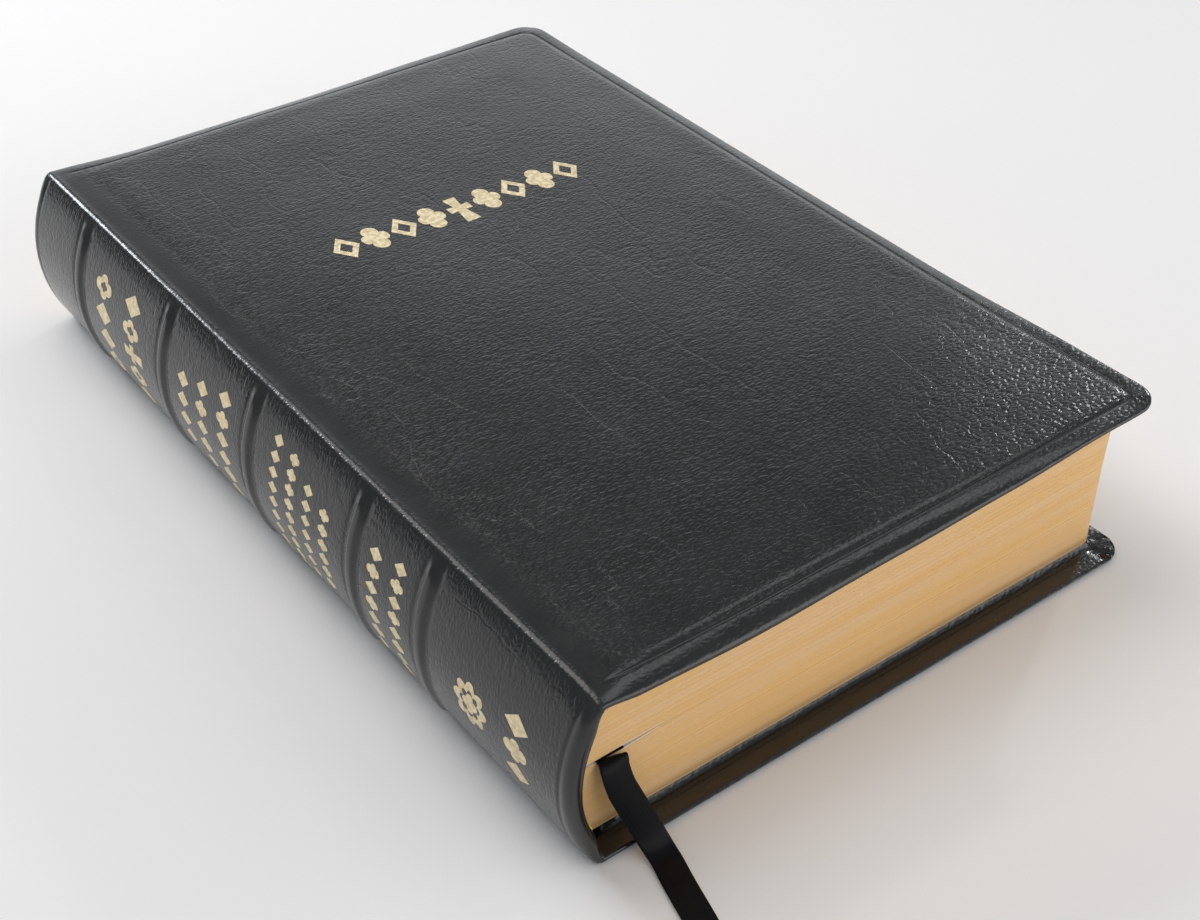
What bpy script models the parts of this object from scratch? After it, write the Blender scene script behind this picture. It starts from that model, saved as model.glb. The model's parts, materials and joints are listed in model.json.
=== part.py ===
"""A closed leather-bound bible that lies on its back cover. Metres, +Z up.

The spine runs along Y on the -X side and the fore-edge faces +X. The tail of the book is at -Y and its head
at +Y. The origin is under the middle of the book, on the surface that it lies on.
"""

import math

import bmesh
import bpy
from mathutils import Matrix, Vector

# Driving dimensions of the bound book
COVER_WIDTH = 0.152  # from the ridge between spine and cover to the fore-edge of the cover
COVER_LENGTH = 0.234  # from tail to head
THICKNESS = 0.044
SPINE_BULGE = 0.007  # how far the rounded spine stands out past the ridges
CORNER_RADIUS = 0.0065  # of the covers, in plan
SQUARE = 0.006  # how far the covers stand out past the pages at head and tail
FORE_SQUARE = 0.0040  # how far the covers stand out past the pages at the fore-edge
FORE_HOLLOW = 0.0006  # how far the middle of the block's fore-edge lies inside its ends

# Thicknesses
LEATHER = 0.0006
BOARD = 0.0010
TURN_IN = 0.0006
SPINE_CARD = 0.0006
SPINE_TURN_IN = 0.0004
PAPER = 0.0002
GAP = 0.0002  # between pieces that are glued or lie on each other
BLOCK_GAP = 0.0003  # between sections, and between the block and the flyleaves

# Case details
JOINT_WIDTH = 0.005  # leather without board beside each ridge
JOINT_START = 0.0008  # clearance between the spine leather and the cover leather
TURN_IN_WIDTH = 0.015
SPINE_TURN_IN_WIDTH = 0.012
PASTEDOWN_MARGIN = 0.0062  # just inside the edges of the block

# Block details
SECTIONS = 12
FRONT_GROUPS = 5
GROUP_THICKNESS = 0.0010
PAGE_CORNER_RADIUS = 0.005
SECTIONS_BELOW_RIBBON = 7
RIBBON_ROOM = 0.0008  # added to the gap that the ribbon lies in
FLYLEAF_START = 0.0050  # where the flyleaves bend, measured from the ridge
FIRST_BEND = 0.0102  # where the first group of leaves bends, measured from the ridge
BEND_STEP = 0.0014  # how much further from the spine each next group bends
BEND_CLEARANCE = 0.0014  # between a group of leaves and its bound margin

# Depths below the outside of the spine, in the order of the layers
SPINE_LINING_DEPTH = 0.0022
MULL_DEPTH = 0.0026
THREAD_DEPTH = 0.0033
BLOCK_DEPTH = 0.0037
BAND_DEPTH = 0.0039
SPINE_TRIM = 0.0009  # the spine leather ends this far from the outer faces of the covers
THREAD_RADIUS = 0.0002
BAND_RADIUS = 0.0008
SEWING_STATIONS = (-0.090, -0.045, 0.0, 0.045, 0.090)

# Ribbon
RIBBON_WIDTH = 0.0064
RIBBON_THICKNESS = 0.0003
RIBBON_SAMPLES = 48  # cross-sections along its free end

ARC_STEPS = 12  # straight pieces in each spine arc
CORNER_STEPS = 6  # straight pieces in each rounded corner
MARGIN = 0.001  # how far a cutter runs past the face that it cuts

RIDGE_X = -(COVER_WIDTH - SPINE_BULGE) / 2
FORE_X = RIDGE_X + COVER_WIDTH
HALF_LENGTH = COVER_LENGTH / 2
HALF_PAGE = HALF_LENGTH - SQUARE
MIDDLE_Z = THICKNESS / 2
SPINE_RADIUS = (MIDDLE_Z**2 + SPINE_BULGE**2) / (2 * SPINE_BULGE)
SPINE_CENTRE_X = RIDGE_X - SPINE_BULGE + SPINE_RADIUS

COVER_DEPTH = LEATHER + GAP + BOARD + GAP + TURN_IN
PASTEDOWN_DEPTH = COVER_DEPTH + GAP
FLYLEAF_DEPTH = PASTEDOWN_DEPTH + PAPER + GAP
BLOCK_BOTTOM = FLYLEAF_DEPTH + PAPER + BLOCK_GAP
GROUP_PITCH = GROUP_THICKNESS + BLOCK_GAP
GROUPS_TOP = THICKNESS - FLYLEAF_DEPTH - PAPER - BLOCK_GAP
GROUPS_BOTTOM = GROUPS_TOP - FRONT_GROUPS * GROUP_PITCH + BLOCK_GAP
SECTION_PITCH = (GROUPS_BOTTOM - BLOCK_BOTTOM - RIBBON_ROOM) / SECTIONS
RIBBON_Z = BLOCK_BOTTOM + SECTIONS_BELOW_RIBBON * SECTION_PITCH + (RIBBON_ROOM - BLOCK_GAP) / 2

# Free end of the ribbon: out between the pages, down past the tail edge, then along the table. The points
# are measured from the ridge, from the tail edge of the covers and from the table.
RIBBON_ROUTE = (
    (0.0070, 0.0056, RIBBON_Z),
    (0.0070, 0.0046, RIBBON_Z - 0.0002),
    (0.0069, 0.0036, RIBBON_Z - 0.0012),
    (0.0070, 0.0027, RIBBON_Z - 0.0031),
    (0.0075, 0.0018, RIBBON_Z - 0.0057),
    (0.0083, 0.0009, 0.0127),
    (0.0093, -0.0001, 0.0092),
    (0.0103, -0.0014, 0.0058),
    (0.0110, -0.0030, 0.0028),
    (0.0113, -0.0048, 0.0010),
    (0.0110, -0.0072, 0.0004),
    (0.0099, -0.0112, 0.0003),
    (0.0088, -0.0155, 0.0003),
    (0.0077, -0.0200, 0.0003),
    (0.0064, -0.0250, 0.0003),
    (0.0048, -0.0300, 0.0003),
    (0.0033, -0.0350, 0.0003),
    (0.0021, -0.0400, 0.0003),
    (0.0013, -0.0455, 0.0003),
)

# Colour, roughness and metallic value of each material
FINISHES = {
    "bonded_leather": ((0.012, 0.012, 0.013), 0.42, 0.0),
    "cover_board": ((0.42, 0.38, 0.31), 0.9, 0.0),
    "endpaper": ((0.86, 0.83, 0.75), 0.8, 0.0),
    "gilt_edged_pages": ((0.83, 0.66, 0.36), 0.5, 0.0),
    "mull_gauze": ((0.82, 0.79, 0.70), 0.9, 0.0),
    "kraft_lining": ((0.55, 0.40, 0.25), 0.85, 0.0),
    "linen_thread": ((0.88, 0.85, 0.76), 0.8, 0.0),
    "band_cotton": ((0.80, 0.68, 0.28), 0.8, 0.0),
    "black_satin": ((0.010, 0.010, 0.012), 0.35, 0.0),
}


def clear_scene():
    for obj in list(bpy.data.objects):
        bpy.data.objects.remove(obj)


def new_collection(name):
    group = bpy.data.collections.new(name)
    bpy.context.scene.collection.children.link(group)
    return group


def new_material(name):
    colour, roughness, metallic = FINISHES[name]
    material = bpy.data.materials.new(name)
    material.use_nodes = True
    shader = material.node_tree.nodes["Principled BSDF"]
    shader.inputs["Base Color"].default_value = (*colour, 1.0)
    shader.inputs["Roughness"].default_value = roughness
    shader.inputs["Metallic"].default_value = metallic
    return material


def arc_points(centre, radius, start, end, steps):
    """Points on a circle from angle start to angle end, both included."""
    angles = [start + (end - start) * i / steps for i in range(steps + 1)]
    return [(centre[0] + radius * math.cos(a), centre[1] + radius * math.sin(a)) for a in angles]


def leaf_outline(spine_x, fore_x, half_length, radius):
    """Plan of a cover or a leaf, anticlockwise: square at the spine, rounded at the fore-edge."""
    tail = arc_points((fore_x - radius, radius - half_length), radius, -math.pi / 2, 0, CORNER_STEPS)
    head = arc_points((fore_x - radius, half_length - radius), radius, 0, math.pi / 2, CORNER_STEPS)
    return [(spine_x, -half_length), *tail, *head, (spine_x, half_length)]


def spine_x(depth, z):
    """X of the spine's arc at height z, depth below its outside."""
    radius = SPINE_RADIUS - depth
    return SPINE_CENTRE_X - math.sqrt(radius**2 - (z - MIDDLE_Z) ** 2)


def spine_arc(depth, low, high):
    """Points (x, z) along the spine's arc from height low to height high."""
    heights = [low + (high - low) * i / ARC_STEPS for i in range(ARC_STEPS + 1)]
    return [(spine_x(depth, z), z) for z in heights]


def prism(name, outline, low, high, along="Z"):
    """A closed prism. The outline is (x, y) when it runs along Z, and (x, z) when it runs along Y."""
    mesh = bpy.data.meshes.new(name)
    shape = bmesh.new()
    if along == "Z":
        corners = [shape.verts.new((x, y, low)) for x, y in outline]
        travel = Vector((0, 0, high - low))
    else:
        corners = [shape.verts.new((x, low, z)) for x, z in outline]
        travel = Vector((0, high - low, 0))
    base = shape.faces.new(corners)
    grown = bmesh.ops.extrude_face_region(shape, geom=[base])
    moved = [item for item in grown["geom"] if isinstance(item, bmesh.types.BMVert)]
    bmesh.ops.translate(shape, verts=moved, vec=travel)
    # The first face is kept by the extrusion, so it closes the prism at its start.
    bmesh.ops.recalc_face_normals(shape, faces=shape.faces)
    shape.to_mesh(mesh)
    shape.free()
    return bpy.data.objects.new(name, mesh)


def cut(piece, cutter, cutters):
    """Subtracts a cutter, which stays in its own collection as a wire that isn't rendered."""
    cutters.objects.link(cutter)
    cutter.hide_render = True
    cutter.display_type = "WIRE"
    boolean = piece.modifiers.new(cutter.name, "BOOLEAN")
    boolean.operation = "DIFFERENCE"
    boolean.solver = "EXACT"
    boolean.object = cutter


def cover_leather(name, outer_z, inward, cutters):
    """Leather of one cover: a thin joint beside the ridge, then a tray whose turn-ins fold over the board."""

    def span(shallow, deep):
        return sorted((outer_z + inward * shallow, outer_z + inward * deep))

    outline = leaf_outline(RIDGE_X + JOINT_START, FORE_X, HALF_LENGTH, CORNER_RADIUS)
    leather = prism(name, outline, *span(0, COVER_DEPTH))

    joint_end = RIDGE_X + JOINT_WIDTH
    joint = [
        (RIDGE_X - MARGIN, -HALF_LENGTH - MARGIN),
        (joint_end, -HALF_LENGTH - MARGIN),
        (joint_end, HALF_LENGTH + MARGIN),
        (RIDGE_X - MARGIN, HALF_LENGTH + MARGIN),
    ]
    cut(leather, prism(name + "_joint_cutter", joint, *span(LEATHER, COVER_DEPTH + MARGIN)), cutters)

    inside = leaf_outline(
        joint_end - MARGIN, FORE_X - LEATHER, HALF_LENGTH - LEATHER, CORNER_RADIUS - LEATHER
    )
    pocket = span(LEATHER, COVER_DEPTH - TURN_IN)
    cut(leather, prism(name + "_pocket_cutter", inside, *pocket), cutters)

    window = [
        (joint_end - MARGIN, TURN_IN_WIDTH - HALF_LENGTH),
        (FORE_X - TURN_IN_WIDTH, TURN_IN_WIDTH - HALF_LENGTH),
        (FORE_X - TURN_IN_WIDTH, HALF_LENGTH - TURN_IN_WIDTH),
        (joint_end - MARGIN, HALF_LENGTH - TURN_IN_WIDTH),
    ]
    opening = span(COVER_DEPTH - TURN_IN - GAP, COVER_DEPTH + MARGIN)
    cut(leather, prism(name + "_window_cutter", window, *opening), cutters)
    return leather


def cover_board(name, outer_z, inward):
    inset = LEATHER + GAP
    outline = leaf_outline(
        RIDGE_X + JOINT_WIDTH + GAP, FORE_X - inset, HALF_LENGTH - inset, CORNER_RADIUS - inset
    )
    near = outer_z + inward * (LEATHER + GAP)
    far = near + inward * BOARD
    return prism(name, outline, min(near, far), max(near, far))


def pastedown(name, outer_z, inward):
    """The endpaper half that is glued inside a cover, over the turn-ins, trimmed like the pages."""
    margin = PASTEDOWN_MARGIN
    outline = leaf_outline(
        RIDGE_X + JOINT_WIDTH + GAP, FORE_X - margin, HALF_LENGTH - margin, PAGE_CORNER_RADIUS
    )
    near = outer_z + inward * PASTEDOWN_DEPTH
    far = near + inward * PAPER
    return prism(name, outline, min(near, far), max(near, far))


def page_fore_x(z):
    """X of the fore-edge of the pages at height z."""
    off_middle = (z - MIDDLE_Z) / MIDDLE_Z
    return FORE_X - FORE_SQUARE - FORE_HOLLOW * (1 - off_middle**2)


def flyleaf(name, outer_z, inward):
    near = outer_z + inward * FLYLEAF_DEPTH
    far = near + inward * PAPER
    outline = leaf_outline(RIDGE_X + FLYLEAF_START, page_fore_x(near), HALF_PAGE, PAGE_CORNER_RADIUS)
    return prism(name, outline, min(near, far), max(near, far))


def leaves(name, low, high, bend_x=None):
    """Leaves between two heights. They start at the rounded back of the block, or at bend_x, and end at its
    slightly hollow fore-edge."""
    outline = leaf_outline(0, FORE_X, HALF_PAGE, PAGE_CORNER_RADIUS)
    block = prism(name, outline, low, high)
    for corner in block.data.vertices:
        if corner.co.x > 0:
            corner.co.x += page_fore_x(corner.co.z) - FORE_X
        else:
            corner.co.x = spine_x(BLOCK_DEPTH, corner.co.z) if bend_x is None else bend_x
    return block


def group_bottom(index):
    """Lowest height of a front group of leaves; group 0 is the top one."""
    return GROUPS_TOP - GROUP_THICKNESS - index * GROUP_PITCH


def group_bend(index):
    return RIDGE_X + FIRST_BEND + index * BEND_STEP


def front_leaves_gutter():
    """Bound margin of the front groups of leaves, cut back on a slant so that each group can turn."""
    slope = BEND_STEP / GROUP_PITCH
    low_x = group_bend(FRONT_GROUPS - 1) - BEND_CLEARANCE
    high_x = low_x - slope * (GROUPS_TOP - GROUPS_BOTTOM)
    back = spine_arc(BLOCK_DEPTH, GROUPS_BOTTOM, GROUPS_TOP)
    outline = [(low_x, GROUPS_BOTTOM), (high_x, GROUPS_TOP), *reversed(back)]
    return prism("front_leaves_gutter", outline, -HALF_PAGE, HALF_PAGE, "Y")


def spine_layer(name, depth, thickness, trim, half_length):
    """A curved strip along the spine, trim below the front face and above the back face."""
    outside = spine_arc(depth, trim, THICKNESS - trim)
    inside = spine_arc(depth + thickness, trim, THICKNESS - trim)
    return prism(name, [*inside, *reversed(outside)], -half_length, half_length, "Y")


def spine_leather(cutters):
    depth = LEATHER + GAP + SPINE_CARD + GAP + SPINE_TURN_IN
    leather = spine_layer("spine_leather", 0, depth, SPINE_TRIM, HALF_LENGTH)
    pocket_depth = SPINE_CARD + 2 * GAP
    pocket = spine_layer("spine_pocket_cutter", LEATHER, pocket_depth, 0, HALF_LENGTH - LEATHER)
    cut(leather, pocket, cutters)
    window_depth = LEATHER + GAP + SPINE_CARD
    window = spine_layer(
        "spine_window_cutter",
        window_depth,
        depth - window_depth + MARGIN,
        0,
        HALF_LENGTH - SPINE_TURN_IN_WIDTH,
    )
    cut(leather, window, cutters)
    return leather


def tube(name, points, radius):
    """A round cord along the points, closed at both ends."""
    curve = bpy.data.curves.new(name, "CURVE")
    curve.dimensions = "3D"
    curve.bevel_depth = radius
    curve.bevel_resolution = 2
    curve.use_fill_caps = True
    path = curve.splines.new("POLY")
    path.points.add(len(points) - 1)
    for point, place in zip(path.points, points, strict=True):
        point.co = (*place, 1.0)
    return bpy.data.objects.new(name, curve)


def back_cord(name, depth, low, high, y, radius):
    """A cord that follows the rounded back of the block at one place along it."""
    return tube(name, [(x, y, z) for x, z in spine_arc(depth, low, high)], radius)


def smooth_path(points, samples):
    """Evenly counted points on a Catmull-Rom curve through the given points."""
    places = [Vector(p) for p in points]
    places = [2 * places[0] - places[1], *places, 2 * places[-1] - places[-2]]
    spans = len(places) - 3
    path = []
    for i in range(samples):
        along = spans * i / (samples - 1)
        span = min(int(along), spans - 1)
        t = along - span
        a, b, c, d = places[span : span + 4]
        path.append(
            0.5
            * (
                2 * b
                + (c - a) * t
                + (2 * a - 5 * b + 4 * c - d) * t**2
                + (3 * b - a - 3 * c + d) * t**3
            )
        )
    return path


def ribbon_tail():
    """The free end of the ribbon: a flat strip swept along its route, with its width kept level."""
    route = [(RIDGE_X + x, y - HALF_LENGTH, z) for x, y, z in RIBBON_ROUTE]
    path = smooth_path(route, RIBBON_SAMPLES)
    first_heading = Vector((0, -1, 0))
    last_heading = (path[-1] - path[-8]).normalized()
    mesh = bpy.data.meshes.new("ribbon_tail")
    shape = bmesh.new()
    rings = []
    for i, place in enumerate(path):
        tangent = (path[min(i + 1, len(path) - 1)] - path[max(i - 1, 0)]).normalized()
        heading = first_heading.lerp(last_heading, i / (len(path) - 1))
        across = Vector((-heading.y, heading.x, 0))
        across = (across - across.dot(tangent) * tangent).normalized() * RIBBON_WIDTH / 2
        up = across.cross(tangent).normalized() * RIBBON_THICKNESS / 2
        corners = (across + up, up - across, -across - up, across - up)
        rings.append([shape.verts.new(place + corner) for corner in corners])
    for ring, following in zip(rings, rings[1:], strict=False):
        for i in range(4):
            j = (i + 1) % 4
            shape.faces.new((ring[i], ring[j], following[j], following[i]))
    shape.faces.new(reversed(rings[0]))
    shape.faces.new(rings[-1])
    bmesh.ops.recalc_face_normals(shape, faces=shape.faces)
    shape.to_mesh(mesh)
    shape.free()
    return bpy.data.objects.new("ribbon_tail", mesh)


def ribbon_marker():
    """The ribbon between the sections: from the head of the back, slanting out to the tail."""
    head_x = RIDGE_X + 0.0005
    tail_x = RIDGE_X + RIBBON_ROUTE[0][0] - RIBBON_WIDTH / 2
    outline = [
        (tail_x, -HALF_PAGE),
        (tail_x + RIBBON_WIDTH, -HALF_PAGE),
        (head_x + RIBBON_WIDTH, HALF_PAGE - MARGIN),
        (head_x, HALF_PAGE - MARGIN),
    ]
    low = RIBBON_Z - RIBBON_THICKNESS / 2
    return prism("ribbon_marker", outline, low, low + RIBBON_THICKNESS)


def sections():
    """The sewn sections from the bottom up, with room for the ribbon between two of them."""
    made = []
    for i in range(SECTIONS):
        low = BLOCK_BOTTOM + i * SECTION_PITCH
        if i >= SECTIONS_BELOW_RIBBON:
            low += RIBBON_ROOM
        made.append(leaves(f"section_{i + 1:02d}", low, low + SECTION_PITCH - BLOCK_GAP))
    return made


def main():
    clear_scene()
    book = new_collection("bible")
    cutters = new_collection("cutters")
    materials = {name: new_material(name) for name in FINISHES}

    def add_body(name, hinge, pieces):
        """Links the pieces of one moving body and parents them to an empty on its hinge."""
        pivot = bpy.data.objects.new(name + "_pivot", None)
        pivot.location = hinge
        book.objects.link(pivot)
        for piece, finish in pieces:
            piece.data.materials.append(materials[finish])
            book.objects.link(piece)
            piece.parent = pivot
            piece.matrix_parent_inverse = Matrix.Translation(-Vector(hinge))

    back_outside = (0, 1)
    front_outside = (THICKNESS, -1)
    add_body(
        "back_cover",
        (0, 0, 0),
        [
            (cover_leather("back_cover_leather", *back_outside, cutters), "bonded_leather"),
            (cover_board("back_board", *back_outside), "cover_board"),
            (pastedown("back_pastedown", *back_outside), "endpaper"),
            (ribbon_tail(), "black_satin"),
        ],
    )

    lining_trim = BLOCK_BOTTOM
    lining_length = HALF_PAGE - 0.004
    block = [
        (spine_leather(cutters), "bonded_leather"),
        (
            spine_layer(
                "spine_inlay", LEATHER + GAP, SPINE_CARD, SPINE_TRIM, HALF_LENGTH - LEATHER - GAP
            ),
            "cover_board",
        ),
        (spine_layer("spine_lining", SPINE_LINING_DEPTH, PAPER, lining_trim, lining_length), "kraft_lining"),
        (spine_layer("mull", MULL_DEPTH, PAPER, lining_trim, lining_length - 0.004), "mull_gauze"),
        (front_leaves_gutter(), "gilt_edged_pages"),
        (ribbon_marker(), "black_satin"),
    ]
    block += [(section, "gilt_edged_pages") for section in sections()]
    for i, y in enumerate(SEWING_STATIONS):
        thread = back_cord(f"sewing_thread_{i + 1}", THREAD_DEPTH, BLOCK_BOTTOM, GROUPS_TOP, y, THREAD_RADIUS)
        block.append((thread, "linen_thread"))
    band_y = HALF_PAGE + GAP + BAND_RADIUS
    for name, y in (("tail_band", -band_y), ("head_band", band_y)):
        low, high = BLOCK_BOTTOM + BAND_RADIUS, GROUPS_TOP - BAND_RADIUS
        block.append((back_cord(name, BAND_DEPTH, low, high, y, BAND_RADIUS), "band_cotton"))
    add_body("block", (RIDGE_X, 0, 0), block)

    flyleaf_x = RIDGE_X + FLYLEAF_START
    rear_hinge = (flyleaf_x, 0, FLYLEAF_DEPTH + PAPER)
    add_body("rear_flyleaf", rear_hinge, [(flyleaf("rear_flyleaf", *back_outside), "endpaper")])

    for i in range(FRONT_GROUPS):
        low = group_bottom(i)
        group = leaves(f"front_leaves_{i + 1}", low, low + GROUP_THICKNESS, group_bend(i))
        add_body(group.name, (group_bend(i), 0, low), [(group, "gilt_edged_pages")])

    front_hinge = (flyleaf_x, 0, THICKNESS - FLYLEAF_DEPTH - PAPER)
    add_body("front_flyleaf", front_hinge, [(flyleaf("front_flyleaf", *front_outside), "endpaper")])
    add_body(
        "front_cover",
        (RIDGE_X, 0, THICKNESS),
        [
            (cover_leather("front_cover_leather", *front_outside, cutters), "bonded_leather"),
            (cover_board("front_board", *front_outside), "cover_board"),
            (pastedown("front_pastedown", *front_outside), "endpaper"),
        ],
    )


main()
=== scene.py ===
"""Looks of the closed leather-bound bible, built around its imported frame. Metres, in the row frame.

The spine runs along Y at -X, the fore-edge faces +X, the tail is at -Y and the front cover faces +Z.
Leather surfaces use two lengths: u, across the book from the fore-edge over the ridge and round the spine,
and v, along the book from its tail edge.
"""

import json
import math

import bmesh
import bpy
import numpy as np
from mathutils import Matrix, Vector


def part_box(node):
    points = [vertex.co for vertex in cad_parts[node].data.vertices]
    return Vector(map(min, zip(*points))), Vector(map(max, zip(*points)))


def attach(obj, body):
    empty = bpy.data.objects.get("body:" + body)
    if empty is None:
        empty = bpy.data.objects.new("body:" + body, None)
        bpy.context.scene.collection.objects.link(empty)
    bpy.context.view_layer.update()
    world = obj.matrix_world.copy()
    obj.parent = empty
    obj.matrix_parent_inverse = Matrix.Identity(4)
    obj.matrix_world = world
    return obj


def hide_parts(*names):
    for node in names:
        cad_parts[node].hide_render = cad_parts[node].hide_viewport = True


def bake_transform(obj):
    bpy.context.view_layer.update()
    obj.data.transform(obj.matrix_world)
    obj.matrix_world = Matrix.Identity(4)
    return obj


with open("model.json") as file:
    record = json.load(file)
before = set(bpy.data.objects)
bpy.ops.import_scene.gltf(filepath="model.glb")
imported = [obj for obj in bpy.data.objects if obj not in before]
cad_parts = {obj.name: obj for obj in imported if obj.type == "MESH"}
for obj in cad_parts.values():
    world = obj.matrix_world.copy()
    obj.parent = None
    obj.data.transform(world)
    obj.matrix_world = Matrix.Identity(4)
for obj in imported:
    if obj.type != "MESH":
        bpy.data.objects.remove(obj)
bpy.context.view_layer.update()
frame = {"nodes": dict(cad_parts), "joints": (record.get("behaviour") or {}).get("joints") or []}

MM = 0.001
JOINTS = {joint["name"]: joint for joint in frame["joints"]}

# The book's own measures, from the frame
RIDGE_X, _, THICKNESS = JOINTS["front_cover_hinge"]["pos_m"]
FORE_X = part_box("front_cover_leather")[1].x
HALF_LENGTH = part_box("front_cover_leather")[1].y
COVER_WIDTH = FORE_X - RIDGE_X
COVER_LENGTH = 2 * HALF_LENGTH
COVER_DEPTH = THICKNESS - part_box("front_cover_leather")[0].z
SPINE_BULGE = RIDGE_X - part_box("spine_leather")[0].x
MIDDLE_Z = THICKNESS / 2
SPINE_RADIUS = (MIDDLE_Z**2 + SPINE_BULGE**2) / (2 * SPINE_BULGE)
SPINE_CENTRE_X = RIDGE_X - SPINE_BULGE + SPINE_RADIUS
BLOCK_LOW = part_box("section_01")[0]
BLOCK_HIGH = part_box("front_leaves_1")[1]
HALF_PAGE = BLOCK_HIGH.y
BLOCK_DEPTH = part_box("section_06")[0].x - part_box("spine_leather")[0].x
FORE_MIDDLE_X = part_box("section_06")[1].x
FORE_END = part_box("front_flyleaf")[1]

# Case
CORNER_RADIUS = 6.5 * MM
RIDGE_ROUNDING = 1.0 * MM
SEAM = 0.7 * MM  # the front leather ends this far inside the lower ridge, where the back leather starts
JOINT_WIDTH = 5 * MM
TURN_IN = 15 * MM
BORDER = 4.35 * MM  # the outer strip of a cover, where only leather lies on leather
DROOP_REACH = 9 * MM  # the edges of the front cover droop over this width, which is outside the pages
BAND_PLACES = (50 * MM, 76 * MM, 120 * MM, 161 * MM, 206 * MM)  # raised bands, from the tail
EDGE_LINES = (  # millimetres from a free edge of the leather, close at its rounding and at its groove
    *(0, 0.12, 0.36, 0.75, 1.3, 1.9, 2.5, 3.1, 3.6, 3.9, 4.15, 4.35),
    *(4.55, 4.8, 5.2, 5.7, 6.3, 7, 8, 9, 10, 12, 15),
)

# Pages
PAGE_CORNER_RADIUS = 5 * MM
SETTLED = 0.3 * MM  # how much lower the rear flyleaf lies than in the frame
LEAF = 0.17 * MM  # one layer of the edge, which stands for a few thin leaves
PALE_TONE = 1.5  # of the leaves that the ribbon lies between; the others have tones from 0 to 1
END_BAND_DEPTH = 3.9 * MM  # of the middle of the head and tail bands, from the outside of the spine
RIBBON_WIDTH = 6.4 * MM
RIBBON_THICKNESS = 0.3 * MM
UNDER_RIBBON, OVER_RIBBON = "section_07", "section_08"
RIBBON_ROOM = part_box(OVER_RIBBON)[0].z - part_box(UNDER_RIBBON)[1].z
RIBBON_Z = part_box("ribbon_marker")[0].z + RIBBON_THICKNESS / 2
LYING_Z = 0.3 * MM  # of the middle of the ribbon where it lies on the table

# Free end of the ribbon, measured from the ridge, from the tail edge of the covers and from the table
RIBBON_ROUTE = (
    (0.0070, 0.0056, RIBBON_Z),
    (0.0068, 0.0046, RIBBON_Z - 0.0002),
    (0.0065, 0.0036, RIBBON_Z - 0.0012),
    (0.0065, 0.0027, RIBBON_Z - 0.0031),
    (0.0069, 0.0018, RIBBON_Z - 0.0057),
    (0.0078, 0.0009, 0.0127),
    (0.0090, -0.0001, 0.0092),
    (0.0102, -0.0014, 0.0058),
    (0.0110, -0.0030, 0.0028),
    (0.0113, -0.0048, 0.0010),
    (0.0110, -0.0072, 0.0004),
    (0.0099, -0.0112, LYING_Z),
    (0.0088, -0.0155, LYING_Z),
    (0.0077, -0.0200, LYING_Z),
    (0.0064, -0.0250, LYING_Z),
    (0.0048, -0.0300, LYING_Z),
    (0.0033, -0.0350, LYING_Z),
    (0.0021, -0.0400, LYING_Z),
    (0.0013, -0.0455, LYING_Z),
)


# ---------------- curves and fields


def step(x, low, high):
    """0 below low, 1 above high, and smooth between them. It falls where low is above high."""
    t = np.clip((x - low) / (high - low), 0, 1)
    return t * t * (3 - 2 * t)


def bell(x, centre, width):
    return np.exp(-(((x - centre) / width) ** 2))


def eased(x, knots):
    """A smooth curve through (place, value) knots, level at each of them and past both ends."""
    places = np.array([knot[0] for knot in knots], float)
    values = np.array([knot[1] for knot in knots], float)
    k = np.clip(np.searchsorted(places, x) - 1, 0, len(places) - 2)
    t = np.clip((x - places[k]) / (places[k + 1] - places[k]), 0, 1)
    t = t * t * (3 - 2 * t)
    return values[k] + (values[k + 1] - values[k]) * t


def smooth_path(points, samples):
    """Evenly counted points on a Catmull-Rom curve through the given points."""
    places = [Vector(p) for p in points]
    places = [2 * places[0] - places[1], *places, 2 * places[-1] - places[-2]]
    spans = len(places) - 3
    path = []
    for i in range(samples):
        along = spans * i / (samples - 1)
        span = min(int(along), spans - 1)
        t = along - span
        a, b, c, d = places[span : span + 4]
        linear = (c - a) * t
        square = (2 * a - 5 * b + 4 * c - d) * t**2
        cube = (3 * b - a - 3 * c + d) * t**3
        path.append(0.5 * (2 * b + linear + square + cube))
    return path


def spine_x(depth, z):
    """X of the spine's arc at height z, depth below its outside."""
    return SPINE_CENTRE_X - np.sqrt((SPINE_RADIUS - depth) ** 2 - (z - MIDDLE_Z) ** 2)


def smoothed(values, reach):
    """Averages a line over reach samples on each side and keeps its ends."""
    padded = np.pad(values, reach, "reflect", reflect_type="odd")
    return np.convolve(padded, np.ones(2 * reach + 1) / (2 * reach + 1), "valid")


def case_line():
    """Outer line of the case in the XZ plane with its normals, and the lengths at its two ridges.

    It runs from the fore-edge of the front cover over the ridge and round the spine to the seam."""
    pace = 0.1 * MM
    cover = np.arange(0, COVER_WIDTH, pace)
    half_angle = math.asin(MIDDLE_Z / SPINE_RADIUS)
    spine_length = 2 * half_angle * SPINE_RADIUS
    turned = np.arange(0, spine_length, pace) / SPINE_RADIUS
    under = np.arange(0, SEAM + pace / 2, pace)
    angles = half_angle - turned
    x = np.concatenate([FORE_X - cover, SPINE_CENTRE_X - SPINE_RADIUS * np.cos(angles), RIDGE_X + under])
    z = np.concatenate([cover * 0 + THICKNESS, MIDDLE_Z + SPINE_RADIUS * np.sin(angles), under * 0])
    reach = int(RIDGE_ROUNDING / pace)
    for _ in range(2):
        x, z = smoothed(x, reach), smoothed(z, reach)
    run = np.concatenate([[0], np.cumsum(np.hypot(np.diff(x), np.diff(z)))])
    nx, nz = np.gradient(z, run), -np.gradient(x, run)
    size = np.hypot(nx, nz)
    return run, x, z, nx / size, nz / size, COVER_WIDTH, COVER_WIDTH + spine_length


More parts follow.
